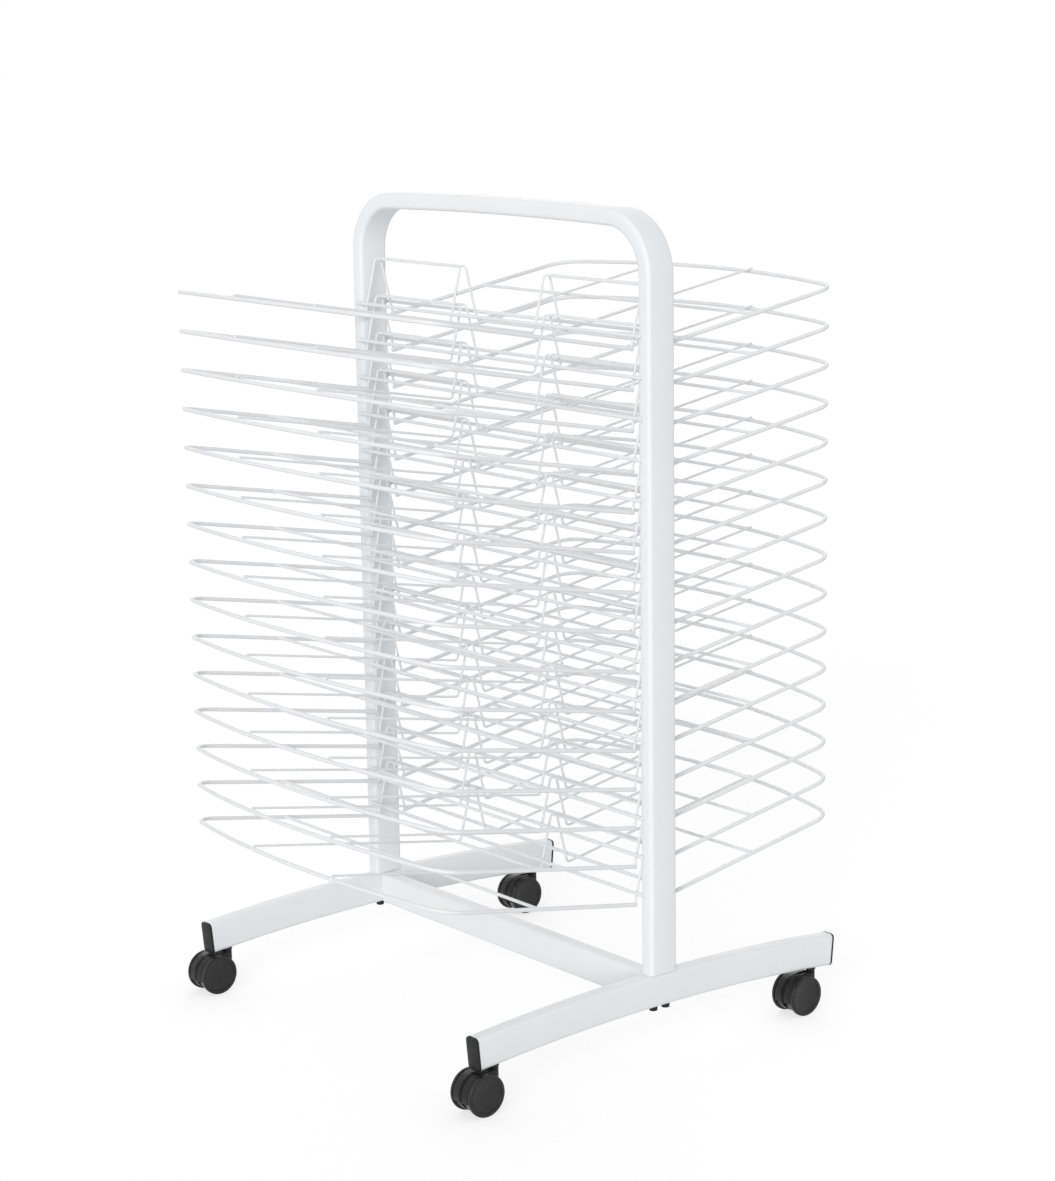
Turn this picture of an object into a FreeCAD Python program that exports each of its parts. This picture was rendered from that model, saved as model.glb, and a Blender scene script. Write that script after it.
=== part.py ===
import FreeCAD, Part
import os
from math import asin, atan2, cos, degrees, hypot, pi, radians, sin, sqrt, tan

# An art drying rack: a hooped tube frame on two arched feet and four swivel casters carries
# fifteen welded wire shelves. X runs across the hoop, from the back upright to the front one,
# Y runs from the left trays to the right ones, and Z is up from the floor at the middle.
# Millimetres throughout.

# Tube frame
tube_width = 20           # the narrow way of every tube
tube_depth = 40           # the wide way
tube_wall = 2
tube_corner = 5
hoop_height = 1000        # floor to the top of the rail
hoop_span = 551.2         # between the middles of the two uprights
hoop_bend = 65            # centre-line radius of the rail's two bends
foot_length = 552         # tube alone, without its caps
foot_rise = 13.5          # of the arch, from its ends to its middle
foot_underside = 65       # floor to the underside at the middle
crossbar_drop = 2.5       # the crossbar sits this much lower than the crown of the feet

# Black end caps pressed into the feet
cap_thickness = 3
cap_overlap = 0.3
plug_length = 14
plug_gap = 0.2

# Socket-head screws, two up through each foot into the upright's end plate
end_plate = 5
screw_spacing = 19
screw_size = 6
screw_head = 10
screw_head_height = 6
screw_socket = 5
screw_socket_depth = 3
screw_gap = 0.15

# Shelves
shelf_count = 15
shelf_pitch = 46.76
lowest_shelf = 183.5      # floor to where the planes of the lowest two trays would meet
shelf_tilt = 10           # degrees, both trays rise outward
tray_width = 514          # between the middles of the two side wires
tray_reach = 338          # along the slope, from the middle plane to the front of the bow
outer_bow = 34.5          # how far the outer edge bows out of the straight
outer_corner = 32
cross_reach = 170         # along the slope, from the middle plane to the cross wire
run_spacing = 162         # between the two thin wires that run up the slope
rim_wire = 5
cross_wire = 4
thin_wire = 3
rim_lap = 2.5             # the rim runs on past the leg that stands on it

# Support rods and paper stops
rod_wire = 4.5
rod_height = 18.7         # above the shelf's own height
rod_lap = 8               # each rod's end overlaps the face of its upright
stop_height = 74.5        # of the stop bars, above the shelf's own height
stop_gap = 5              # between the left and the right tray's stop bars

# Twin-wheel swivel casters
stem_inset = 29.6         # from the cap's outer face to the swivel axis
trail = 23.5              # from the swivel axis back to the axle
wheel_diameter = 50
caster_width = 37
tread_width = 4
tread_chamfer = 1
hub_diameter = 45         # the narrower part of the wheel, under the hood
face_diameter = 41
face_recess = 1.2
web_thickness = 7
web_floor_gap = 12        # floor to the web's lower edge
web_foot = 24             # length of that edge
side_gap = 0.5            # between a wheel and the hood beside it
hood_wall = 1.5
hood_gap = 0.7            # between a hub and the hood over it
hood_from = 42            # degrees round the axle, from the stem's side over the top
hood_to = 196
boss_diameter = 11
boss_length = 14
axle_diameter = 6
axle_cover = 3.5          # solid wall of the wheel beyond the axle
running_gap = 0.06        # round axles and pivots
pivot_diameter = 7
pivot_length = 9
flange_diameter = 12.5
flange_thickness = 2.5
flange_gap = 0.3          # between the fixed flange and the turning boss
shank_diameter = 10
shank_length = 30
shank_gap = 0.1

# Flats drawn for round forms, few enough that all thirty trays stay light
tube_corner_steps = 2
arch_steps = 9            # an odd number, so that the upright stands on a flat
wire_sides = 4            # an even number, flat on top, as the welded wires sit on each other
rim_corner_steps = 2
bow_steps = 4
wheel_sides = 20
bore_sides = 12           # round the bearings that the round axles and pivots turn in
fastener_sides = 8        # round screws, shanks and their holes
cover_steps = 8

# Places worked out from the sizes above
ORIGIN = FreeCAD.Vector(0, 0, 0)
X_AXIS = FreeCAD.Vector(1, 0, 0)
Y_AXIS = FreeCAD.Vector(0, 1, 0)
Z_AXIS = FreeCAD.Vector(0, 0, 1)
upright_x = hoop_span / 2
foot_top = foot_underside + tube_depth
arch_radius = ((foot_length / 2) ** 2 + foot_rise**2) / (2 * foot_rise)
arch_half_turn = degrees(asin(foot_length / 2 / arch_radius))
arch_corner_radius = arch_radius / cos(radians(arch_half_turn) / arch_steps)
stem_y = foot_length / 2 + cap_thickness - stem_inset
tilt = radians(shelf_tilt)
rim_top = rim_wire / 2    # above the plane of the rim's middle line
run_level = rim_top + thin_wire / 2
bow_radius = ((tray_width / 2) ** 2 + outer_bow**2) / (2 * outer_bow)


def vector(x, y, z):
    return FreeCAD.Vector(x, y, z)


def save(name, solids):
    shape = solids[0] if len(solids) == 1 else Part.makeCompound(solids)
    shape.exportStep(f"parts/{name}.step")


def turned(shape, centre, axis, angle):
    return shape.copy().rotate(centre, axis, angle)


# -------------------------------------------------------------------------- general forms


def polygon_face(corners):
    return Part.Face(Part.makePolygon(corners + corners[:1]))


def arc_points(x, y, radius, start, end, steps):
    """Points in the XY plane round an arc, its ends included, with angles in radians."""
    angles = [start + (end - start) * i / steps for i in range(steps + 1)]
    return [vector(x + radius * cos(a), y + radius * sin(a), 0) for a in angles]


def skin(rings):
    """A solid with flat facets between rings of as many corners each."""
    faces = [polygon_face(rings[0]), polygon_face(rings[-1])]
    for near, far in zip(rings, rings[1:]):
        for i in range(len(near)):
            faces.append(polygon_face([near[i - 1], near[i], far[i], far[i - 1]]))
    return Part.Solid(Part.Shell(faces))


def lathe(profile, sides):
    """A piece turned about the Z axis from (height, radius) pairs, with its corners on the round."""
    turns = [2 * pi * i / sides for i in range(sides)]
    return skin([[vector(r * cos(a), r * sin(a), z) for a in turns] for z, r in profile])


def pin(diameter, bottom, top):
    return Part.makeCylinder(diameter / 2, top - bottom, vector(0, 0, bottom))


def hole(diameter, bottom, top, sides=fastener_sides):
    """A cutter whose flats, not its corners, are on the round."""
    radius = diameter / 2 / cos(pi / sides)
    return lathe([(bottom, radius), (top, radius)], sides)


# ---------------------------------------------------------------------------- tube frame


def rounded_rectangle(width, depth, corner):
    """Corners of a section round the Z axis, its width along X."""
    x = width / 2 - corner
    y = depth / 2 - corner
    points = []
    for turn, (corner_x, corner_y) in enumerate([(x, y), (-x, y), (-x, -y), (x, -y)]):
        start = turn * pi / 2
        points += arc_points(corner_x, corner_y, corner, start, start + pi / 2, tube_corner_steps)
    return points


def tube_outside(lip=0):
    return rounded_rectangle(tube_width + 2 * lip, tube_depth + 2 * lip, tube_corner + lip)


def tube_bore(gap=0):
    x = tube_width / 2 - tube_wall - gap
    y = tube_depth / 2 - tube_wall - gap
    return [vector(-x, -y, 0), vector(x, -y, 0), vector(x, y, 0), vector(-x, y, 0)]


def tube_section():
    """The tube's ring of metal round the Z axis, its narrow way along X."""
    return polygon_face(tube_outside()).cut(polygon_face(tube_bore())).Faces[0]


def upright_end_plate():
    """The plate welded into an upright's foot, with its two screw holes."""
    plate = polygon_face(tube_bore()).extrude(Z_AXIS * end_plate)
    for y in (-screw_spacing / 2, screw_spacing / 2):
        plate = plate.cut(hole(screw_size + 2 * screw_gap, 0, end_plate).translate(vector(0, y, 0)))
    return plate


def hoop_path():
    """Middle line of the hoop: up the back upright, over both bends and down the front one."""
    rail_z = hoop_height - tube_width / 2
    bend_x = upright_x - hoop_bend
    bend_z = rail_z - hoop_bend
    halfway = hoop_bend * sqrt(0.5)
    bends = [
        Part.Arc(
            vector(side * upright_x, 0, bend_z),
            vector(side * (bend_x + halfway), 0, bend_z + halfway),
            vector(side * bend_x, 0, rail_z),
        ).toShape()
        for side in (-1, 1)
    ]
    back, front = [
        Part.makeLine(vector(x, 0, foot_top), vector(x, 0, bend_z)) for x in (-upright_x, upright_x)
    ]
    rail = Part.makeLine(vector(-bend_x, 0, rail_z), vector(bend_x, 0, rail_z))
    return Part.Wire(Part.sortEdges([back, bends[0], rail, bends[1], front])[0])


def hoop_frame():
    hoop = hoop_path().makePipe(tube_section().translate(vector(-upright_x, 0, foot_top)))
    for x in (-upright_x, upright_x):
        hoop = hoop.fuse(upright_end_plate().translate(vector(x, 0, foot_top)))
    return hoop


def arch_centre(x):
    return vector(x, 0, foot_top - tube_depth / 2 - arch_radius)


def foot_underside_at(y):
    return arch_centre(0).z + sqrt((arch_radius - tube_depth / 2) ** 2 - y**2)


def along_arch(section, x):
    """A section's corners carried along the arch, from its left end to its right end."""
    angles = [arch_half_turn * (1 - 2 * i / arch_steps) for i in range(arch_steps + 1)]
    turns = [FreeCAD.Rotation(X_AXIS, angle) for angle in angles]
    standing = [vector(p.x, 0, p.y + arch_corner_radius) for p in section]
    return skin([[arch_centre(x) + turn.multVec(p) for p in standing] for turn in turns])


def foot(x):
    tube = along_arch(tube_outside(), x).cut(along_arch(tube_bore(), x))
    for y in (-screw_spacing / 2, screw_spacing / 2):
        tube = tube.cut(hole(screw_size + 2 * screw_gap, 0, hoop_height).translate(vector(x, y, 0)))
    for y in (-stem_y, stem_y):
        stem_hole = hole(shank_diameter + 2 * shank_gap, 0, foot_underside + tube_wall)
        tube = tube.cut(stem_hole.translate(vector(x, y, 0)))
    return tube


def crossbar():
    length = hoop_span - tube_width
    bar = tube_section().extrude(Z_AXIS * length)
    bar.rotate(ORIGIN, Y_AXIS, 90)
    bar.rotate(ORIGIN, X_AXIS, 90)
    return bar.translate(vector(-length / 2, 0, foot_top - tube_depth / 2 - crossbar_drop))


def end_cap(x, side):
    """A flange over the foot's cut end, with a plug inside the tube."""
    flange = polygon_face(tube_outside(cap_overlap)).extrude(Z_AXIS * cap_thickness)
    plug = polygon_face(tube_bore(plug_gap)).extrude(Z_AXIS * -plug_length)
    cap = flange.fuse(plug).rotate(ORIGIN, X_AXIS, 90)
    cap.translate(arch_centre(x) + Z_AXIS * arch_corner_radius)
    cap.rotate(arch_centre(x), X_AXIS, arch_half_turn)
    return cap if side < 0 else turned(cap, vector(x, 0, 0), Z_AXIS, 180)


def foot_screw():
    """A socket-head screw standing on its head, as it goes up through the foot."""
    head_bottom = foot_underside - screw_head_height
    screw = lathe([
        (head_bottom, screw_head / 2),
        (foot_underside, screw_head / 2),
        (foot_underside, screw_size / 2),
        (foot_top + end_plate, screw_size / 2),
    ], fastener_sides)
    socket_radius = screw_socket / 2 / cos(pi / 6)
    socket_top = head_bottom + screw_socket_depth
    return screw.cut(lathe([(head_bottom, socket_radius), (socket_top, socket_radius)], 6))


# ------------------------------------------------------------------------------ wirework


def slid_to_plane(points, direction, plane):
    """Slide points along a direction until they lie on a plane, given as (point, normal)."""
    place, normal = plane
    return [p + direction * ((place - p).dot(normal) / direction.dot(normal)) for p in points]


def wire(path, across, up, start_plane=None, end_plane=None):
    """A bent wire with a flat facing up, mitred at each bend and cut at its ends by two planes."""
    runs = [(b - a).normalize() for a, b in zip(path, path[1:])]
    planes = [(place, before + after) for place, before, after in zip(path[1:], runs, runs[1:])]
    planes.insert(0, start_plane or (path[0], runs[0]))
    planes.append(end_plane or (path[-1], runs[-1]))
    side = runs[0].cross(up).normalize()
    top = side.cross(runs[0])
    radius = across / 2 / cos(pi / wire_sides)
    angles = [pi / 2 + (2 * i + 1) * pi / wire_sides for i in range(wire_sides)]
    ring = [path[0] + side * (radius * cos(a)) + top * (radius * sin(a)) for a in angles]
    rings = [slid_to_plane(ring, runs[0], planes[0])]
    for run, plane in zip(runs, planes[1:]):
        rings.append(slid_to_plane(rings[-1], run, plane))
    return skin(rings)


def stop_bar_y():
    return stop_gap / 2 + thin_wire / 2


def leg_lean():
    """Angle of the stop's legs from upright: they end at the stop bar and lean on their rod's edge."""
    out = tube_depth / 2 - stop_bar_y()
    drop = stop_height - rod_height + rod_wire / 2
    return atan2(out, drop) - asin(thin_wire / 2 / hypot(out, drop))


def leg_foot(level):
    """Out and up to where a leg's middle line meets a level above the tray's plane."""
    slope = tan(leg_lean())
    top = stop_bar_y() + stop_height * slope
    up = (level + top * sin(tilt)) / (cos(tilt) + slope * sin(tilt))
    return top - up * slope, up


def up_slope(place):
    """Distance from the middle plane to a place (out, up), measured along the tray."""
    out, up = place
    return out * cos(tilt) + up * sin(tilt)


def bend_normal():
    """Normal of the mitre where a thin wire turns from the tray up into the stop's leg."""
    run = vector(0, -cos(tilt), -sin(tilt))
    leg = vector(0, -sin(leg_lean()), cos(leg_lean()))
    return run + leg


def rim_path():
    """Middle line of a rim in its own plane, X across and Y up the slope."""
    corner_x = tray_width / 2 - outer_corner
    bow_y = tray_reach - bow_radius
    corner_y = bow_y + sqrt((bow_radius - outer_corner) ** 2 - corner_x**2)
    meeting = atan2(corner_y - bow_y, corner_x)
    front = arc_points(corner_x, corner_y, outer_corner, 0, meeting, rim_corner_steps)
    bow = arc_points(0, bow_y, bow_radius, meeting, pi - meeting, bow_steps)
    back = arc_points(-corner_x, corner_y, outer_corner, pi - meeting, pi, rim_corner_steps)
    inner = up_slope(leg_foot(rim_top)) - rim_lap
    start, end = [vector(x, inner, 0) for x in (tray_width / 2, -tray_width / 2)]
    return [start] + front + bow[1:-1] + back + [end]


def tray():
    """The right-hand tray's rim, cross wire and two thin wires, at the height of the floor."""
    rim = wire(rim_path(), rim_wire, Z_AXIS)
    cross_end = tray_width / 2 - rim_wire / 2
    cross_path = [vector(x, cross_reach, rim_top - cross_wire / 2) for x in (-cross_end, cross_end)]
    pieces = [rim, wire(cross_path, cross_wire, Z_AXIS)]
    bend = FreeCAD.Rotation(X_AXIS, -shelf_tilt).multVec(bend_normal())
    for x in (-run_spacing / 2, run_spacing / 2):
        start = vector(x, up_slope(leg_foot(run_level)), run_level)
        end = vector(x, tray_reach - bow_radius + sqrt(bow_radius**2 - x**2), run_level)
        pieces.append(wire([start, end], thin_wire, Z_AXIS, start_plane=(start, bend)))
    return [piece.rotate(ORIGIN, X_AXIS, shelf_tilt) for piece in pieces]


def paper_stop(end):
    """The upturned end of a thin wire: its leg, the bar that stops the paper and the outer leg."""
    inner_x = end * run_spacing / 2
    outer_x = end * tray_width / 2
    path = [
        vector(inner_x, *leg_foot(run_level)),
        vector(inner_x, stop_bar_y(), stop_height),
        vector(outer_x, stop_bar_y(), stop_height),
        vector(outer_x, *leg_foot(rim_top)),
    ]
    on_rim = vector(0, -sin(tilt), cos(tilt))
    bend = (path[0], bend_normal())
    return wire(path, thin_wire, X_AXIS, start_plane=bend, end_plane=(path[-1], on_rim))


def support_rod():
    half = upright_x - tube_width / 2 + rod_lap
    y = tube_depth / 2 + rod_wire / 2
    return wire([vector(-half, y, rod_height), vector(half, y, rod_height)], rod_wire, Y_AXIS)


def on_shelf(piece, shelf, side):
    """A right-hand piece lifted to its shelf, or turned half round to the left-hand side first."""
    placed = piece.copy() if side == "right" else turned(piece, ORIGIN, Z_AXIS, 180)
    return placed.translate(vector(0, 0, lowest_shelf + shelf * shelf_pitch))


# ------------------------------------------------------------------------------- casters


def flange_top():
    """The flange meets the sloping underside of the foot at its outermost edge."""
    return foot_underside_at(stem_y + flange_diameter / 2)


def caster_stem():
    """Fixed shank in the foot, the flange under the foot and the pivot that the hood turns on."""
    flange_bottom = flange_top() - flange_thickness
    fixed = lathe([
        (flange_bottom, flange_diameter / 2),
        (flange_top(), flange_diameter / 2),
        (flange_top(), shank_diameter / 2),
        (flange_top() + shank_length, shank_diameter / 2),
    ], fastener_sides)
    return fixed.fuse(pin(pivot_diameter, flange_bottom - pivot_length, flange_bottom))


def across_x(shape):
    """Turn a piece made about the Z axis so that it lies along the X axis."""
    return turned(shape, ORIGIN, Y_AXIS, 90)


def plate_from(points, half_width):
    """A plate square to the X axis from points whose x and y stand for Y and Z."""
    outline = [vector(-half_width, p.x, p.y) for p in points]
    return polygon_face(outline).extrude(X_AXIS * 2 * half_width)


def hood():
    """Web between the wheels, cover over them and boss on the swivel axis, which is the Z axis."""
    axle_z = wheel_diameter / 2
    inside = hub_diameter / 2 + hood_gap
    turn = (radians(hood_from), radians(hood_to))
    outer = arc_points(-trail, axle_z, inside + hood_wall, *turn, cover_steps)
    inner = arc_points(-trail, axle_z, inside, *turn, cover_steps)
    cover = plate_from(outer + inner[::-1], caster_width / 2 - tread_width - side_gap)
    boss_top = flange_top() - flange_thickness - flange_gap
    boss_bottom = boss_top - boss_length
    boss_radius = boss_diameter / 2
    boss = lathe([(boss_bottom, boss_radius), (boss_top, boss_radius)], bore_sides)
    web_floor = [vector(-trail + y, web_floor_gap, 0) for y in (-web_foot / 2, web_foot / 2)]
    web_corner = vector(boss_radius * cos(pi / bore_sides), boss_bottom + web_thickness / 2, 0)
    web = plate_from(outer + web_floor + [web_corner], web_thickness / 2)
    pivot_bore = hole(pivot_diameter + 2 * running_gap, boss_top - pivot_length, boss_top, bore_sides)
    body = web.fuse([cover, boss]).cut(pivot_bore)
    return body.cut(axle().translate(vector(0, -trail, axle_z)))


def axle():
    half = caster_width / 2 - axle_cover
    return across_x(pin(axle_diameter, -half, half))


def wheel(side):
    """One wheel about the X axis, its narrow hub towards the web and its bore blind."""
    inner = web_thickness / 2 + side_gap
    outer = caster_width / 2
    body = lathe([
        (inner, hub_diameter / 2),
        (outer - tread_width, hub_diameter / 2),
        (outer - tread_width, wheel_diameter / 2),
        (outer - tread_chamfer, wheel_diameter / 2),
        (outer, wheel_diameter / 2 - tread_chamfer),
        (outer, face_diameter / 2),
        (outer - face_recess, face_diameter / 2),
    ], wheel_sides)
    bore_floor = outer - axle_cover + running_gap
    bore = hole(axle_diameter + 2 * running_gap, inner, bore_floor, bore_sides)
    front = across_x(body.cut(bore))
    return front if side > 0 else turned(front, ORIGIN, Z_AXIS, 180)


def save_caster(name, x, y):
    swivel = vector(x, y, 0)
    axle_place = swivel + vector(0, -trail, wheel_diameter / 2)
    save(f"{name}_hood", [hood().translate(swivel)])
    save(f"{name}_axle", [axle().translate(axle_place)])
    save(f"{name}_wheel_front", [wheel(1).translate(axle_place)])
    save(f"{name}_wheel_back", [wheel(-1).translate(axle_place)])


# ------------------------------------------------------------------------------ assembly

os.makedirs("parts", exist_ok=True)
ends = {"front": 1, "back": -1}
sides = {"left": -1, "right": 1}
quarters = [(end, side) for end in ends.values() for side in sides.values()]

save("hoop_frame", [hoop_frame()])
save("crossbar", [crossbar()])
for end, sign in ends.items():
    save(f"foot_{end}", [foot(sign * upright_x)])
save("foot_end_caps", [end_cap(end * upright_x, side) for end, side in quarters])
save("foot_screws", [
    foot_screw().translate(vector(end * upright_x, side * screw_spacing / 2, 0)) for end, side in quarters
])

for side, side_sign in sides.items():
    for shelf in range(shelf_count):
        save(f"tray_{side}_{shelf + 1:02d}", [on_shelf(piece, shelf, side) for piece in tray()])
    save(f"support_rods_{side}", [on_shelf(support_rod(), shelf, side) for shelf in range(shelf_count)])
    for end, sign in ends.items():
        stop = paper_stop(sign * side_sign)
        save(f"paper_stops_{side}_{end}", [on_shelf(stop, shelf, side) for shelf in range(shelf_count)])

save("caster_stems", [
    caster_stem().translate(vector(end * upright_x, side * stem_y, 0)) for end, side in quarters
])
for end, end_sign in ends.items():
    for side, side_sign in sides.items():
        save_caster(f"caster_{end}_{side}", end_sign * upright_x, side_sign * stem_y)
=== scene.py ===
from math import asin, atan2, cos, hypot, pi, radians, sin, sqrt, tan

import bpy
from mathutils import Matrix, Quaternion, Vector


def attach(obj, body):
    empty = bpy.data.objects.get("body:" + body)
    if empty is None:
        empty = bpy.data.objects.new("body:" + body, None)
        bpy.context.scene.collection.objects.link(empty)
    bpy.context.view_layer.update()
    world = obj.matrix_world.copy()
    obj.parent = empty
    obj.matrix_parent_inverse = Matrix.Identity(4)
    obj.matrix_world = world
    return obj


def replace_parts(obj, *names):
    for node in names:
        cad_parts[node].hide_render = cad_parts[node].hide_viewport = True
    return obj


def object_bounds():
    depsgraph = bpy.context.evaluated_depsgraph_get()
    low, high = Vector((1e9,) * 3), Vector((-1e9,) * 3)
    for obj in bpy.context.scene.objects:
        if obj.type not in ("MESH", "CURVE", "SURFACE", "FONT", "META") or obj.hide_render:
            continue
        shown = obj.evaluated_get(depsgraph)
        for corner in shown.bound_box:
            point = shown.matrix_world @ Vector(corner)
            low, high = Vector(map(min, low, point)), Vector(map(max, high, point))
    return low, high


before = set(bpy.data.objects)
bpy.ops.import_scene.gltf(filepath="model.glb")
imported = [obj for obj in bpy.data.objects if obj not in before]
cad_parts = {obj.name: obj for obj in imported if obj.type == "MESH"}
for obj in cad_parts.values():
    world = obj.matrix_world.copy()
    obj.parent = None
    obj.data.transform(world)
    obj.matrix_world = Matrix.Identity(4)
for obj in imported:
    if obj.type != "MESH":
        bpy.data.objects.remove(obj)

# An art drying rack: a hooped tube frame on two arched feet and four swivel casters carries
# fifteen welded wire shelves. X runs across the hoop, from the back upright to the front one,
# Y from the left trays to the right ones, and Z up from the floor. The sizes are those of the
# solids, in metres, with the finer ones of welds, bends and soft edges that only the scene has.
cad_low, cad_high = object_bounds()
mm = 0.001

# Tube frame
tube_width = 20 * mm
tube_depth = 40 * mm
tube_corner = 5 * mm
hoop_height = 1000 * mm
hoop_span = 551.2 * mm
hoop_bend = 65 * mm
rail_crown = 3 * mm       # how much higher the rail's middle is than its ends
foot_length = 552 * mm
foot_rise = 13.5 * mm
foot_underside = 65 * mm
crossbar_drop = 2.5 * mm
cap_thickness = 3 * mm
cap_overlap = 0.3 * mm
cap_edge = 0.6 * mm
screw_spacing = 19 * mm
screw_head = 10 * mm
screw_head_height = 6 * mm
screw_socket = 5 * mm
screw_socket_depth = 3 * mm
screw_edge = 0.6 * mm
seam_size = 2.4 * mm      # width of the weld round the crossbar's ends
seam_step = 1 * mm        # between two points along that weld

# Shelves, rods and paper stops
shelf_count = 15
shelf_pitch = 46.76 * mm
lowest_shelf = 183.5 * mm
tilt = radians(10)
tray_width = 514 * mm
tray_reach = 338 * mm
outer_bow = 34.5 * mm
outer_corner = 32 * mm
cross_reach = 170 * mm
run_spacing = 162 * mm
rim_wire = 5 * mm
cross_wire = 4 * mm
thin_wire = 3 * mm
rim_lap = 2.5 * mm
rod_wire = 4.5 * mm
rod_height = 18.7 * mm
rod_lap = 8 * mm
stop_height = 74.5 * mm
stop_gap = 5 * mm
stop_bend = 5 * mm        # centre-line radius of the thin wires' bends
wire_cut = 0.4 * mm       # soft edge of a cut end
run_lap = 0.6 * mm        # a thin wire ends this far past the middle of the rim
stop_lap = 0.005 * mm     # a stop's leg starts this far inside the end of its run

# Weld beads: length, width and height
cross_weld = (3.4 * mm, 5.4 * mm, 4.6 * mm)
run_weld = (4.8 * mm, 4.4 * mm, 2.4 * mm)
foot_weld = (4.6 * mm, 4.6 * mm, 2.6 * mm)
leg_weld = (4.4 * mm, 2.6 * mm, 4.2 * mm)
rod_weld = (8.4 * mm, 2.6 * mm, 6.525 * mm)
leg_weld_out = -0.35 * mm     # from the upright's face
leg_weld_drop = 0.7 * mm      # below the middle of the rod
rod_weld_out = 0.5 * mm       # from the upright's face

# Casters
stem_inset = 29.6 * mm
trail = 23.5 * mm
wheel_diameter = 50 * mm
caster_width = 37 * mm
tread_width = 4 * mm
tread_edge = 1.1 * mm
hub_diameter = 45 * mm
hub_edge = 0.4 * mm
face_diameter = 41 * mm
face_recess = 1.2 * mm
dish_depth = 1 * mm       # how much deeper the middle of the wheel's face lies
dish_draft = 0.3 * mm     # how much the step down to it leans
dish_edge = 0.5 * mm
web_thickness = 7 * mm
web_floor_gap = 12 * mm
web_foot = 24 * mm
side_gap = 0.5 * mm
cover_gap = 1.2 * mm      # between the hood's cover and the treads
hood_wall = 1.5 * mm
hood_gap = 0.7 * mm
hood_from = radians(42)
hood_to = radians(196)
hood_edge = 0.5 * mm
web_edge = 0.75 * mm
neck_inset = 0.4 * mm     # the web's corner lies this far inside the boss
boss_diameter = 11 * mm
boss_length = 14 * mm
flange_diameter = 12.5 * mm
flange_thickness = 2.5 * mm
flange_edge = 0.5 * mm
flange_gap = 0.3 * mm
pivot_stub = 2 * mm       # the part of the pivot that is drawn, under the flange
shank_diameter = 10 * mm
shank_length = 30 * mm

X_AXIS = Vector((1, 0, 0))
Y_AXIS = Vector((0, 1, 0))
Z_AXIS = Vector((0, 0, 1))
upright_x = hoop_span / 2
foot_top = foot_underside + tube_depth
arch_radius = ((foot_length / 2) ** 2 + foot_rise**2) / (2 * foot_rise)
arch_half_turn = asin(foot_length / 2 / arch_radius)
stem_y = foot_length / 2 + cap_thickness - stem_inset
rim_top = rim_wire / 2
run_level = rim_top + thin_wire / 2
bow_radius = ((tray_width / 2) ** 2 + outer_bow**2) / (2 * outer_bow)
sides = {"left": -1, "right": 1}    # which way along Y
ends = {"front": 1, "back": -1}     # which way along X
edge_turns = [i * pi / 6 for i in range(4)]


# ------------------------------------------------------------------------ general forms


def arc_points(x, y, radius, start, end, steps):
    """Points in the XY plane round an arc, its ends included."""
    angles = [start + (end - start) * i / steps for i in range(steps + 1)]
    return [Vector((x + radius * cos(a), y + radius * sin(a), 0)) for a in angles]


def circle(diameter, count=12):
    return arc_points(0, 0, diameter / 2, 0, 2 * pi, count)[:-1]


def rounded_rectangle(width, depth, corner, steps=5):
    x = width / 2 - corner
    y = depth / 2 - corner
    points = []
    for turn, (corner_x, corner_y) in enumerate([(x, y), (-x, y), (-x, -y), (x, -y)]):
        start = turn * pi / 2
        points += arc_points(corner_x, corner_y, corner, start, start + pi / 2, steps)
    return points


def tube_outline(lip=0):
    return rounded_rectangle(tube_width + 2 * lip, tube_depth + 2 * lip, tube_corner + lip)


def corner_points(before, place, after, radius, steps):
    """Points of the arc that rounds one corner of a path."""
    back = (before - place).normalized()
    onward = (after - place).normalized()
    half = back.angle(onward) / 2
    centre = place + (back + onward).normalized() * (radius / sin(half))
    start = place + back * (radius / tan(half)) - centre
    end = place + onward * (radius / tan(half)) - centre
    turn = start.rotation_difference(end)
    return [centre + Quaternion().slerp(turn, i / steps) @ start for i in range(steps + 1)]


def rounded(path, radius, steps=6):
    """An open path with its inner corners rounded."""
    points = [path[0]]
    for before, place, after in zip(path, path[1:], path[2:]):
        points += corner_points(before, place, after, radius, steps)
    return points + [path[-1]]


def skin(rings):
    """Points and faces of a closed shell between rings of as many points each."""
    count = len(rings[0])
    points = [point for ring in rings for point in ring]
    faces = [list(range(count))[::-1], list(range(len(points) - count, len(points)))]
    for low in range(0, len(points) - count, count):
        for i in range(count):
            j = (i + 1) % count
            faces.append([low + i, low + j, low + count + j, low + count + i])
    return points, faces


def sweep(path, outline, side, sizes=None):
    """An outline carried along a path; side is the way of its first axis at the start."""
    runs = [(b - a).normalized() for a, b in zip(path, path[1:])]
    ways = runs[:1] + [(a + b).normalized() for a, b in zip(runs, runs[1:])] + runs[-1:]
    sizes = sizes or [1] * len(path)
    rings = []
    for i, (place, way, size) in enumerate(zip(path, ways, sizes)):
        side = ways[max(i - 1, 0)].rotation_difference(way) @ side
        side = (side - way * side.dot(way)).normalized()
        up = way.cross(side)
        rings.append([place + (side * p.x + up * p.y) * size for p in outline])
    return skin(rings)


def wire(path, across, side, count=12):
    """A round wire whose cut ends have a soft edge."""
    start = (path[1] - path[0]).normalized() * wire_cut
    end = (path[-2] - path[-1]).normalized() * wire_cut
    places = [path[0], path[0] + start] + path[1:-1] + [path[-1] + end, path[-1]]
    size = 1 - 2 * wire_cut / across
    return sweep(places, circle(across, count), side, [size] + [1] * len(path) + [size])


def lathe(profile, count=48):
    """A shell turned about the Z axis from (height, radius) pairs."""
    turns = [2 * pi * i / count for i in range(count)]
    return skin([[Vector((r * cos(a), r * sin(a), z)) for a in turns] for z, r in profile])


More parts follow.
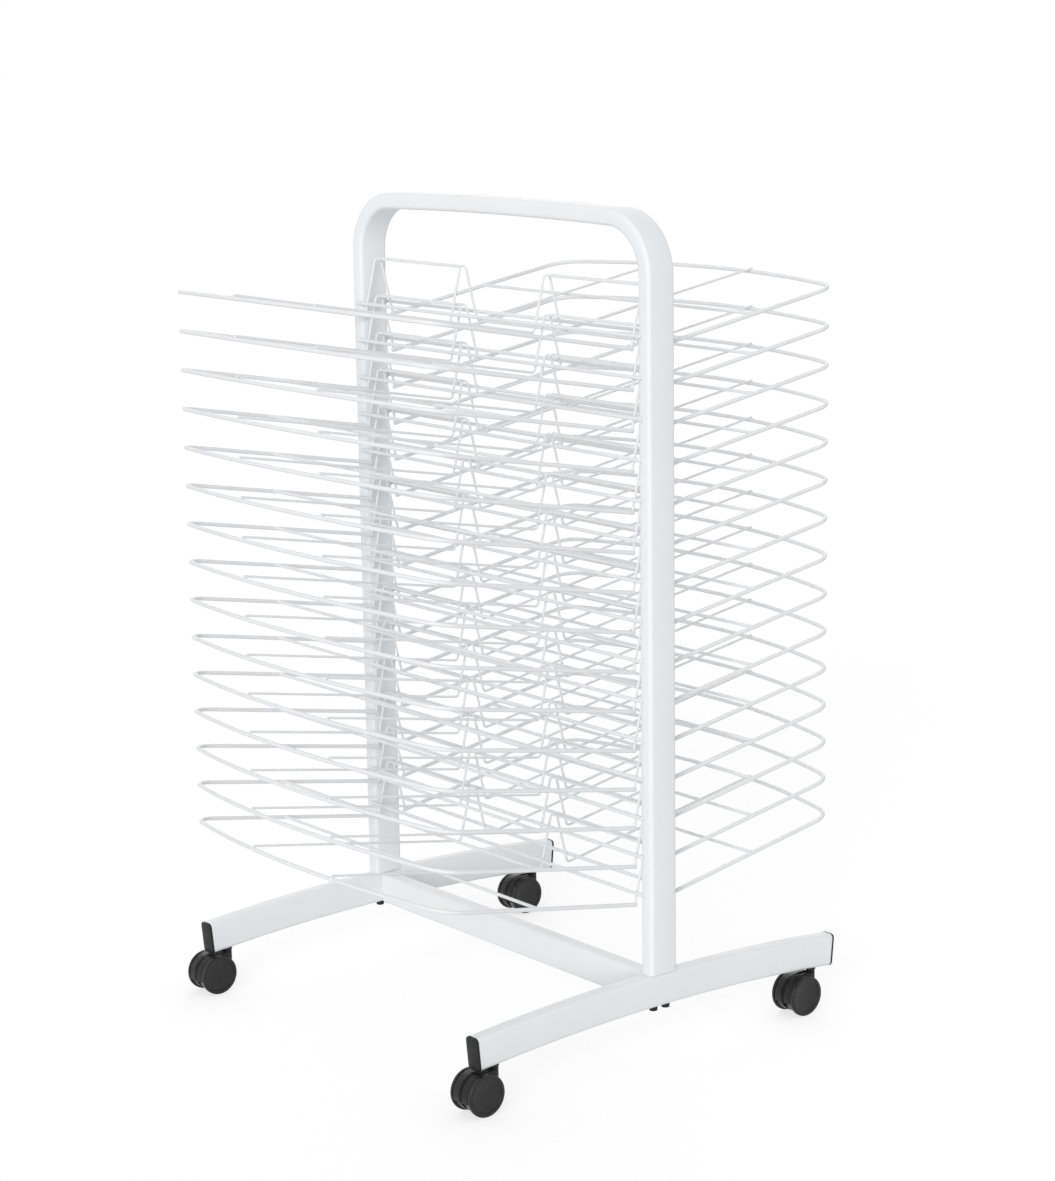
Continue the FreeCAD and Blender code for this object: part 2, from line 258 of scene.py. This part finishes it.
def softened(profile, radius, steps=3):
    """A lathe profile with its inner corners rounded."""
    path = rounded([Vector((z, r, 0)) for z, r in profile], radius, steps)
    return [(p.x, p.y) for p in path]


def moved(shell, matrix):
    points, faces = shell
    return [matrix @ point for point in points], faces


def shifted(shell, x=0, y=0, z=0):
    return moved(shell, Matrix.Translation((x, y, z)))


def joined(shells):
    all_points = []
    all_faces = []
    for points, faces in shells:
        first = len(all_points)
        all_points += points
        all_faces += [[first + i for i in face] for face in faces]
    return all_points, all_faces


def bead(place, weld, turn=Matrix.Identity(3)):
    """A rounded weld; before the turn, its length lies along X and its height along Z."""
    length, width, height = weld
    tip = pi / 25
    rings = 6
    angles = [tip + (pi - 2 * tip) * i / rings for i in range(rings + 1)]
    ball, faces = lathe([(-cos(a), sin(a)) for a in angles], count=10)
    lump = [Vector((p.z * length, p.x * width, p.y * height)) / 2 for p in ball]
    return moved((lump, faces), Matrix.Translation(place) @ turn.to_4x4())


# ------------------------------------------------------------------------------ finishes


def add(tree, kind, inputs=None, **settings):
    """A shader node; an input given as another node's socket becomes a link."""
    made = tree.nodes.new(kind)
    for name, value in settings.items():
        setattr(made, name, value)
    for name, value in (inputs or {}).items():
        if isinstance(value, bpy.types.NodeSocket):
            tree.links.new(value, made.inputs[name])
        else:
            made.inputs[name].default_value = value
    return made


def noise(tree, place, scale, detail=2, roughness=0.5):
    """Noise from 0 to 1; the scale is in cells per metre."""
    settings = {"Vector": place, "Scale": scale, "Detail": detail, "Roughness": roughness}
    return add(tree, "ShaderNodeTexNoise", settings).outputs["Fac"]


def ranged(tree, value, source, target):
    """A value mapped from one range to another and held inside it."""
    return add(tree, "ShaderNodeMapRange", {
        "Value": value,
        "From Min": source[0],
        "From Max": source[1],
        "To Min": target[0],
        "To Max": target[1],
    }).outputs["Result"]


def mixed(tree, factor, first, second):
    settings = {"Fac": factor, "Color1": first, "Color2": second}
    return add(tree, "ShaderNodeMixRGB", settings).outputs["Color"]


def finish(name, build, **sockets):
    """A material from a function that links nodes to its shader, and the shader's own constants."""
    material = bpy.data.materials.new(name)
    material.use_nodes = True
    tree = material.node_tree
    shader = tree.nodes["Principled BSDF"]
    for socket, value in sockets.items():
        shader.inputs[socket.replace("_", " ")].default_value = value
    place = add(tree, "ShaderNodeTexCoord").outputs["Object"]
    color, roughness, relief, depth = build(tree, place)
    tree.links.new(color, shader.inputs["Base Color"])
    tree.links.new(roughness, shader.inputs["Roughness"])
    bump = add(tree, "ShaderNodeBump", {"Height": relief, "Distance": depth, "Strength": 1})
    tree.links.new(bump.outputs["Normal"], shader.inputs["Normal"])
    return material


def powder_coat(light, dark, grain):
    """Baked powder: even colour, a slight drift of tone and a fine orange-peel surface."""
    speck_tone = (0.62, 0.63, 0.63, 1)
    peel_depth = 0.06 * mm

    def build(tree, place):
        drift = noise(tree, place, scale=7, detail=4, roughness=0.6)
        specks = ranged(tree, noise(tree, place, scale=1400, detail=1), (0.68, 0.76), (0, 0.3))
        tone = mixed(tree, ranged(tree, drift, (0.3, 0.7), (0, 1)), light, dark)
        color = mixed(tree, specks, tone, speck_tone)
        roughness = ranged(tree, noise(tree, place, scale=24, detail=3), (0.3, 0.7), (0.42, 0.54))
        return color, roughness, noise(tree, place, scale=grain, roughness=0.6), peel_depth
    return build


def moulded_plastic(light, dark, grain, dull, depth):
    """Spark-eroded moulding: a fine matt grain, with paler rubs and dust."""
    spread = 0.07

    def build(tree, place):
        rub = noise(tree, place, scale=60, detail=6, roughness=0.7)
        color = mixed(tree, ranged(tree, rub, (0.5, 0.75), (0, 1)), dark, light)
        patches = noise(tree, place, scale=180, detail=3)
        roughness = ranged(tree, patches, (0.3, 0.7), (dull - spread, dull + spread))
        return color, roughness, noise(tree, place, scale=grain, roughness=0.7), depth
    return build


def plated_steel(light, dark, scale):
    """Turned steel: fine wavy lines break its shine."""
    line_depth = 0.02 * mm

    def build(tree, place):
        lines = add(tree, "ShaderNodeTexWave", {
            "Vector": place, "Scale": scale, "Distortion": 3, "Detail": 3, "Detail Scale": 6,
        }).outputs["Fac"]
        color = mixed(tree, noise(tree, place, scale=220, detail=4), light, dark)
        return color, ranged(tree, lines, (0, 1), (0.28, 0.42)), lines, line_depth
    return build


finishes = {
    "white_tube": finish(
        "white powder coat on tube",
        powder_coat((0.83, 0.835, 0.845, 1), (0.80, 0.808, 0.82, 1), grain=420),
        Specular_IOR_Level=0.3,
    ),
    "white_wire": finish(
        "white powder coat on wire",
        powder_coat((0.82, 0.825, 0.83, 1), (0.77, 0.775, 0.785, 1), grain=620),
        Specular_IOR_Level=0.3,
    ),
    "black_cap": finish(
        "black cap plastic",
        moulded_plastic(
            (0.016, 0.017, 0.017, 1), (0.009, 0.0095, 0.0095, 1),
            grain=1800, dull=0.5, depth=0.05 * mm,
        ),
        Specular_IOR_Level=0.28,
    ),
    "hood_plastic": finish(
        "black hood plastic",
        moulded_plastic(
            (0.013, 0.013, 0.0135, 1), (0.006, 0.006, 0.0065, 1),
            grain=1500, dull=0.44, depth=0.06 * mm,
        ),
        Specular_IOR_Level=0.32,
    ),
    "wheel_nylon": finish(
        "black wheel nylon",
        moulded_plastic(
            (0.010, 0.010, 0.0105, 1), (0.004, 0.004, 0.004, 1),
            grain=1100, dull=0.3, depth=0.03 * mm,
        ),
        Specular_IOR_Level=0.42,
    ),
    "black_steel": finish(
        "black plated steel",
        plated_steel((0.030, 0.031, 0.033, 1), (0.016, 0.016, 0.018, 1), scale=900),
        Metallic=0.6,
    ),
    "black_screw": finish(
        "black oxide screw",
        plated_steel((0.026, 0.027, 0.03, 1), (0.012, 0.012, 0.014, 1), scale=1200),
        Metallic=0.7,
    ),
    "bright_steel": finish(
        "zinc plated steel",
        plated_steel((0.62, 0.63, 0.64, 1), (0.48, 0.49, 0.5, 1), scale=1500),
        Metallic=1,
    ),
}


# -------------------------------------------------------------------------------- pieces


def mesh_of(name, shell, slot, sharp=38):
    """A smooth mesh whose folds sharper than an angle, in degrees, stay crisp."""
    points, faces = shell
    mesh = bpy.data.meshes.new(name)
    mesh.from_pydata(points, [], faces)
    mesh.materials.append(finishes[slot])
    mesh.shade_smooth()
    mesh.set_sharp_from_angle(angle=radians(sharp))
    return mesh


def dress(name, mesh, body, node, matrix=Matrix.Identity(4)):
    """A piece of the given mesh that stands for a node and rides on its body."""
    piece = bpy.data.objects.new(name, mesh)
    piece.matrix_world = matrix
    bpy.context.collection.objects.link(piece)
    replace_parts(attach(piece, body), node)


def dress_node(node, shell, slot, body="rack"):
    name = f"{node}_piece"
    dress(name, mesh_of(name, shell, slot), body, node)


def hoop():
    """Two uprights and a rail in one bent tube, the rail a little crowned."""
    rail_z = hoop_height - tube_width / 2
    bent = rounded([
        Vector((-upright_x, 0, foot_top)),
        Vector((-upright_x, 0, rail_z - rail_crown)),
        Vector((upright_x, 0, rail_z - rail_crown)),
        Vector((upright_x, 0, foot_top)),
    ], hoop_bend, steps=20)
    half = len(bent) // 2
    reach = bent[half].x
    steps = 6
    shares = [i / steps for i in range(1 - steps, steps)]
    crown = [Vector((share * reach, 0, rail_z - rail_crown * share**2)) for share in shares]
    return sweep(bent[:half] + crown + bent[half:], tube_outline(), X_AXIS)


def arch_path(x, steps=32):
    centre_z = foot_top - tube_depth / 2 - arch_radius
    turns = [arch_half_turn * (1 - 2 * i / steps) for i in range(steps + 1)]
    return [Vector((x, -arch_radius * sin(a), centre_z + arch_radius * cos(a))) for a in turns]


def foot_underside_at(y):
    centre_z = foot_top - tube_depth / 2 - arch_radius
    return centre_z + sqrt((arch_radius - tube_depth / 2) ** 2 - y**2)


def crossbar():
    half = upright_x - tube_width / 2
    z = foot_top - tube_depth / 2 - crossbar_drop
    bar = sweep([Vector((-half, 0, z)), Vector((half, 0, z))], tube_outline(), Y_AXIS)
    return joined([bar, weld_seam(half, z), weld_seam(-half, z)])


def weld_seam(x, z):
    """The rippled weld round a crossbar's end, against the foot."""
    outline = rounded_rectangle(tube_width, tube_depth, tube_corner, steps=8)
    dense = []
    for a, b in zip(outline, outline[1:] + outline[:1]):
        count = max(1, round((b - a).length / seam_step))
        dense += [a.lerp(b, i / count) for i in range(count)]
    path = [Vector((x, p.x, z + p.y)) for p in dense + dense[:1]]
    ripple, swell = 0.16, 0.08
    sizes = [1 + ripple * sin(i * 1.9) + swell * sin(i * 0.37) for i in range(len(path) - 1)]
    return sweep(path, circle(seam_size, count=8), X_AXIS, sizes + sizes[:1])


def end_cap(x, side):
    """A cap's flange, its outer edge rounded."""
    path = arch_path(x)
    way = (path[0] - path[1]).normalized()
    levels = [(0, cap_overlap)]
    for a in edge_turns:
        out = cap_thickness - cap_edge * (1 - sin(a))
        levels.append((out, cap_overlap - cap_edge * (1 - cos(a))))
    rings = [
        [path[0] + way * out + X_AXIS * p.x + way.cross(X_AXIS) * p.y for p in tube_outline(lip)]
        for out, lip in levels
    ]
    cap = skin(rings)
    half_turn = Matrix.Translation((2 * x, 0, 0)) @ Matrix.Rotation(pi, 4, "Z")
    return cap if side < 0 else moved(cap, half_turn)


def foot_screw():
    """A socket-head screw's head, hanging under the foot, with its six-sided socket."""
    bottom = foot_underside - screw_head_height
    count = 36
    turns = [2 * pi * i / count for i in range(count)]
    socket = [screw_socket / 2 / cos((a + pi / 6) % (pi / 3) - pi / 6) for a in turns]
    rings = [
        [Vector((r * cos(a), r * sin(a), z)) for a, r in zip(turns, socket)]
        for z in (bottom + screw_socket_depth, bottom)
    ]
    profile = softened([
        (bottom, screw_head / 2 - 2 * screw_edge),
        (bottom, screw_head / 2),
        (foot_underside, screw_head / 2),
        (foot_underside, screw_head / 4),
    ], screw_edge)
    rings += [[Vector((r * cos(a), r * sin(a), z)) for a in turns] for z, r in profile]
    return skin(rings)


def rim_path():
    """Middle line of a rim in its own plane, X across and Y up the slope."""
    corner_x = tray_width / 2 - outer_corner
    bow_y = tray_reach - bow_radius
    corner_y = bow_y + sqrt((bow_radius - outer_corner) ** 2 - corner_x**2)
    meeting = atan2(corner_y - bow_y, corner_x)
    front = arc_points(corner_x, corner_y, outer_corner, 0, meeting, steps=14)
    bow = arc_points(0, bow_y, bow_radius, meeting, pi - meeting, steps=36)
    back = arc_points(-corner_x, corner_y, outer_corner, pi - meeting, pi, steps=14)
    inner = up_slope(leg_foot(rim_top)) - rim_lap
    start, end = [Vector((x, inner, 0)) for x in (tray_width / 2, -tray_width / 2)]
    return [start] + front + bow[1:-1] + back + [end]


def stop_bar_y():
    return stop_gap / 2 + thin_wire / 2


def leg_lean():
    """Angle of the stop's legs from upright: they run from the stop bar past their rod."""
    out = tube_depth / 2 - stop_bar_y()
    drop = stop_height - rod_height + rod_wire / 2
    return atan2(out, drop) - asin(thin_wire / 2 / hypot(out, drop))


def leg_foot(level):
    """Out and up to where a leg's middle line meets a level above the tray's plane."""
    slope = tan(leg_lean())
    top = stop_bar_y() + stop_height * slope
    up = (level + top * sin(tilt)) / (cos(tilt) + slope * sin(tilt))
    return top - up * slope, up


def up_slope(place):
    """How far up the tray's slope a place lies that is given by its way out and up."""
    out, up = place
    return out * cos(tilt) + up * sin(tilt)


def bend_take():
    """Length of a run that the rounded bend at its foot takes up."""
    turn = pi / 2 - (leg_lean() - tilt)
    return stop_bend * tan(turn / 2)


def bow_at(x):
    """How far up the slope the middle line of the rim's bow lies."""
    return tray_reach - bow_radius + sqrt(bow_radius**2 - x**2)


def tray():
    """A right-hand tray's rim, cross wire and two thin wires, with their welds."""
    pieces = [wire(rim_path(), rim_wire, X_AXIS, count=14)]
    cross_end = tray_width / 2 - rim_wire / 2
    cross_level = rim_top - cross_wire / 2
    cross = [Vector((x, cross_reach, cross_level)) for x in (-cross_end, cross_end)]
    pieces.append(wire(cross, cross_wire, Y_AXIS))
    for x in (-cross_end, cross_end):
        pieces.append(bead(Vector((x, cross_reach, cross_level)), cross_weld))
    for x in (-run_spacing / 2, run_spacing / 2):
        start = Vector((x, up_slope(leg_foot(run_level)) + bend_take(), run_level))
        end = Vector((x, bow_at(x) + run_lap, run_level))
        pieces.append(wire([start, end], thin_wire, X_AXIS))
        for y in (cross_reach, bow_at(x)):
            pieces.append(bead(Vector((x, y, rim_top)), run_weld))
    return moved(joined(pieces), Matrix.Rotation(tilt, 4, "X"))


def paper_stop(end):
    """The upturned end of a thin wire: its leg, the bar that stops the paper and the outer leg."""
    inner_x = end * run_spacing / 2
    outer_x = end * tray_width / 2
    bend = Vector((inner_x, *leg_foot(run_level)))
    outer_foot = Vector((outer_x, *leg_foot(rim_top)))
    path = rounded([
        bend + Vector((0, cos(tilt), sin(tilt))) * (bend_take() + stop_lap),
        bend,
        Vector((inner_x, stop_bar_y(), stop_height)),
        Vector((outer_x, stop_bar_y(), stop_height)),
        outer_foot,
    ], stop_bend)
    shells = [sweep(path, circle(thin_wire), X_AXIS)]
    shells.append(bead(outer_foot, foot_weld, Matrix.Rotation(tilt, 3, "X")))
    lean = Matrix.Rotation(leg_lean(), 3, "X")
    for x in (inner_x, outer_x):
        touch = Vector((x, tube_depth / 2 + leg_weld_out, rod_height - leg_weld_drop))
        shells.append(bead(touch, leg_weld, lean))
    return joined(shells)


def support_rod():
    half = upright_x - tube_width / 2 + rod_lap
    y = tube_depth / 2 + rod_wire / 2
    line = [Vector((x, y, rod_height)) for x in (-half, half)]
    shells = [wire(line, rod_wire, Y_AXIS)]
    for side in (-1, 1):
        place = Vector((side * (half - rod_lap / 2), tube_depth / 2 + rod_weld_out, rod_height))
        shells.append(bead(place, rod_weld))
    return joined(shells)


def shelf_places(side):
    """Where a right-hand piece goes on each shelf of the side asked for, the lowest first."""
    turn = Matrix.Rotation(0 if side == "right" else pi, 4, "Z")
    levels = [lowest_shelf + shelf * shelf_pitch for shelf in range(shelf_count)]
    return [Matrix.Translation((0, 0, z)) @ turn for z in levels]


def on_shelves(shell, side):
    """Copies of a right-hand shell on all the shelves of the side asked for."""
    return joined([moved(shell, place) for place in shelf_places(side)])


def flange_top():
    return foot_underside_at(stem_y + flange_diameter / 2)


def caster_stem():
    """The fixed flange under the foot, the shank above it and the top of the pivot below it."""
    low = flange_top() - flange_thickness
    return lathe(softened([
        (low - pivot_stub, shank_diameter / 4),
        (low - pivot_stub, shank_diameter / 3),
        (low, shank_diameter / 3),
        (low, flange_diameter / 2),
        (flange_top(), flange_diameter / 2),
        (flange_top(), shank_diameter / 2),
        (flange_top() + shank_length, shank_diameter / 2),
        (flange_top() + shank_length, shank_diameter / 4),
    ], flange_edge), count=40)


def inset(outline, distance):
    """A closed outline in the XY plane, moved inward by a distance."""
    points = []
    around = zip(outline[-1:] + outline[:-1], outline, outline[1:] + outline[:1])
    for before, place, after in around:
        first = (place - before).normalized()
        second = (after - place).normalized()
        inward = Vector((-first.y - second.y, first.x + second.x, 0)).normalized()
        lean = max(0.5, inward.dot(Vector((-first.y, first.x, 0))))
        points.append(place + inward * (distance / lean))
    return points


def plate(outline, half, edge):
    """A plate square to X with rounded edges; the outline's x and y stand for Y and Z."""
    levels = [(-half + edge * (1 - cos(a)), edge * (1 - sin(a))) for a in edge_turns]
    levels += [(-x, depth) for x, depth in levels[::-1]]
    return skin([[Vector((x, p.x, p.y)) for p in inset(outline, depth)] for x, depth in levels])


def hood():
    """Web between the wheels, cover over their hubs and boss on the swivel axis, the Z axis."""
    axle_z = wheel_diameter / 2
    inside = hub_diameter / 2 + hood_gap
    outside = inside + hood_wall
    front_y = outside * cos(hood_from) - trail
    half = caster_width / 2 - tread_width - cover_gap
    inner = arc_points(-trail, axle_z, inside, hood_to, hood_from, steps=36)
    back = arc_points(-trail, axle_z, outside, pi / 2, hood_to, steps=30)
    front_low = axle_z + inside * sin(hood_from)
    front = [Vector((front_y, front_low, 0)), Vector((front_y, axle_z + outside, 0))]
    cover = plate(front + back + inner, half, hood_edge)
    boss_top = flange_top() - flange_thickness - flange_gap
    boss_bottom = boss_top - boss_length
    boss = lathe(softened([
        (boss_bottom, boss_diameter / 4),
        (boss_bottom, boss_diameter / 2),
        (boss_top, boss_diameter / 2),
        (boss_top, boss_diameter / 4),
    ], hood_edge), count=40)
    floor = [Vector((-trail + y, web_floor_gap, 0)) for y in (-web_foot / 2, web_foot / 2)]
    neck = [Vector((boss_diameter / 2 - neck_inset, boss_bottom + web_thickness / 2, 0))]
    web = plate(front[1:] + back + floor + neck, web_thickness / 2, web_edge)
    return joined([cover, boss, web])


def wheel(side):
    """One wheel about the X axis: narrow hub, tread at its outer edge and a dished face."""
    inner = web_thickness / 2 + side_gap
    outer = caster_width / 2
    hub = softened([
        (inner, hub_diameter / 6),
        (inner, hub_diameter / 2),
        (outer - tread_width, hub_diameter / 2),
        (outer - tread_width, wheel_diameter / 2),
        (outer - tread_width / 2, wheel_diameter / 2),
    ], hub_edge)
    face = softened([
        (outer - tread_width / 2, wheel_diameter / 2),
        (outer, wheel_diameter / 2),
        (outer, face_diameter / 2),
    ], tread_edge, steps=6)
    dish = softened([
        (outer, face_diameter / 2),
        (outer - face_recess, face_diameter / 2 - dish_draft),
        (outer - face_recess - dish_depth, face_diameter / 8),
    ], dish_edge)
    turned = lathe(hub[:-1] + face[:-1] + dish, count=72)
    return moved(turned, Matrix.Rotation(side * pi / 2, 4, "Y"))


dress_node("hoop_frame", hoop(), "white_tube")
dress_node("crossbar", crossbar(), "white_tube")
for end, end_sign in ends.items():
    foot = sweep(arch_path(end_sign * upright_x), tube_outline(), X_AXIS)
    dress_node(f"foot_{end}", foot, "white_tube")
corners = [(end_sign, side_sign) for end_sign in ends.values() for side_sign in sides.values()]
dress_node("foot_end_caps", joined([
    end_cap(end_sign * upright_x, side_sign) for end_sign, side_sign in corners
]), "black_cap")
dress_node("foot_screws", joined([
    shifted(foot_screw(), end_sign * upright_x, side_sign * screw_spacing / 2)
    for end_sign, side_sign in corners
]), "black_screw")

tray_mesh = mesh_of("tray_wires", tray(), "white_wire")
for side, side_sign in sides.items():
    for shelf, place in enumerate(shelf_places(side), 1):
        node = f"tray_{side}_{shelf:02d}"
        dress(f"{node}_piece", tray_mesh, "rack", node, place)
    dress_node(f"support_rods_{side}", on_shelves(support_rod(), side), "white_wire")
    for end, end_sign in ends.items():
        stops = on_shelves(paper_stop(end_sign * side_sign), side)
        dress_node(f"paper_stops_{side}_{end}", stops, "white_wire")

dress_node("caster_stems", joined([
    shifted(caster_stem(), end_sign * upright_x, side_sign * stem_y)
    for end_sign, side_sign in corners
]), "black_steel")
for end, end_sign in ends.items():
    for side, side_sign in sides.items():
        name = f"caster_{end}_{side}"
        x = end_sign * upright_x
        y = side_sign * stem_y
        dress_node(f"{name}_hood", shifted(hood(), x, y), "hood_plastic", name)
        for wheel_end, wheel_sign in ends.items():
            node = f"{name}_wheel_{wheel_end}"
            placed = shifted(wheel(wheel_sign), x, y - trail, wheel_diameter / 2)
            dress_node(node, placed, "wheel_nylon", node)
        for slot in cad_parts[f"{name}_axle"].material_slots:
            slot.material = finishes["bright_steel"]


# --------------------------------------------------------------------------------- studio

scene = bpy.context.scene
scene.view_settings.view_transform = "Standard"


def background_rays(tree):
    """1 for the rays that see the backdrop: the camera's, and those in metal and glass."""
    rays = add(tree, "ShaderNodeLightPath").outputs
    seen = rays["Is Camera Ray"]
    for kind in ("Is Glossy Ray", "Is Transmission Ray"):
        seen = add(tree, "ShaderNodeMath", {0: seen, 1: rays[kind]}, operation="MAXIMUM").outputs[0]
    return seen


def floor_finish():
    """A pale floor that the camera sees as white where no shadow lies on it.

    To the camera it is half as pale and glows as much as brings its lit parts up to white.
    """
    material = bpy.data.materials.new("floor")
    material.use_nodes = True
    tree = material.node_tree
    tree.nodes.remove(tree.nodes["Principled BSDF"])
    plain = add(tree, "ShaderNodeBsdfDiffuse", {"Color": (0.8, 0.8, 0.8, 1)})
    shaded = add(tree, "ShaderNodeBsdfDiffuse", {"Color": (0.4, 0.4, 0.4, 1)})
    glow = add(tree, "ShaderNodeEmission", {"Color": (1, 1, 1, 1), "Strength": 0.67})
    white = add(tree, "ShaderNodeAddShader", {0: shaded.outputs[0], 1: glow.outputs[0]})
    settings = {0: background_rays(tree), 1: plain.outputs[0], 2: white.outputs[0]}
    mix = add(tree, "ShaderNodeMixShader", settings)
    tree.links.new(mix.outputs[0], tree.nodes["Material Output"].inputs["Surface"])
    return material


def studio_world(strength):
    """Soft light from all round, in front of a white backdrop."""
    world = bpy.data.worlds.new("studio")
    world.use_nodes = True
    tree = world.node_tree
    soft = tree.nodes["Background"]
    soft.inputs["Color"].default_value = (1, 1, 1, 1)
    soft.inputs["Strength"].default_value = strength
    backdrop = add(tree, "ShaderNodeBackground", {"Color": (1, 1, 1, 1), "Strength": 1})
    settings = {0: background_rays(tree), 1: soft.outputs[0], 2: backdrop.outputs[0]}
    mix = add(tree, "ShaderNodeMixShader", settings)
    tree.links.new(mix.outputs[0], tree.nodes["World Output"].inputs["Surface"])
    return world


def soft_lamp(name, towards, strength, angle):
    """Light from far away, with the soft edge of a large lamp."""
    lamp = bpy.data.lights.new(name, "SUN")
    lamp.energy = strength
    lamp.angle = radians(angle)
    holder = bpy.data.objects.new(name, lamp)
    holder.rotation_mode = "QUATERNION"
    holder.rotation_quaternion = Vector(towards).to_track_quat("Z", "Y")
    bpy.context.collection.objects.link(holder)


def stand_floor():
    half = 60
    sink = 0.1 * mm
    mesh = bpy.data.meshes.new("floor")
    outline = [(-half, -half, 0), (half, -half, 0), (half, half, 0), (-half, half, 0)]
    mesh.from_pydata(outline, [], [(0, 1, 2, 3)])
    mesh.materials.append(floor_finish())
    floor = bpy.data.objects.new("floor", mesh)
    floor.location.z = cad_low.z - sink
    bpy.context.collection.objects.link(floor)


def aim_camera():
    """The photograph's angle: from the front and left, a little above the top of the rack."""
    place = Vector((2.658, -2.086, 1.201))
    yaw, elevation, roll = radians(49.54), radians(12.33), radians(-0.42)
    back = Vector((sin(yaw) * cos(elevation), -cos(yaw) * cos(elevation), sin(elevation)))
    right = Quaternion(back, roll) @ Z_AXIS.cross(back).normalized()
    turn = Matrix((right, back.cross(right), back)).transposed().to_4x4()
    camera = bpy.data.objects.new("camera", bpy.data.cameras.new("camera"))
    camera.data.lens = 85.8
    camera.data.shift_x = -0.08
    camera.data.shift_y = 0.04
    camera.matrix_world = Matrix.Translation(place) @ turn
    bpy.context.collection.objects.link(camera)
    scene.camera = camera


scene.world = studio_world(strength=0.62)
soft_lamp("key", towards=(0.56, -0.78, 0.28), strength=1.62, angle=30)
soft_lamp("fill", towards=(-0.66, 0.62, 0.30), strength=0.9, angle=60)
stand_floor()
aim_camera()
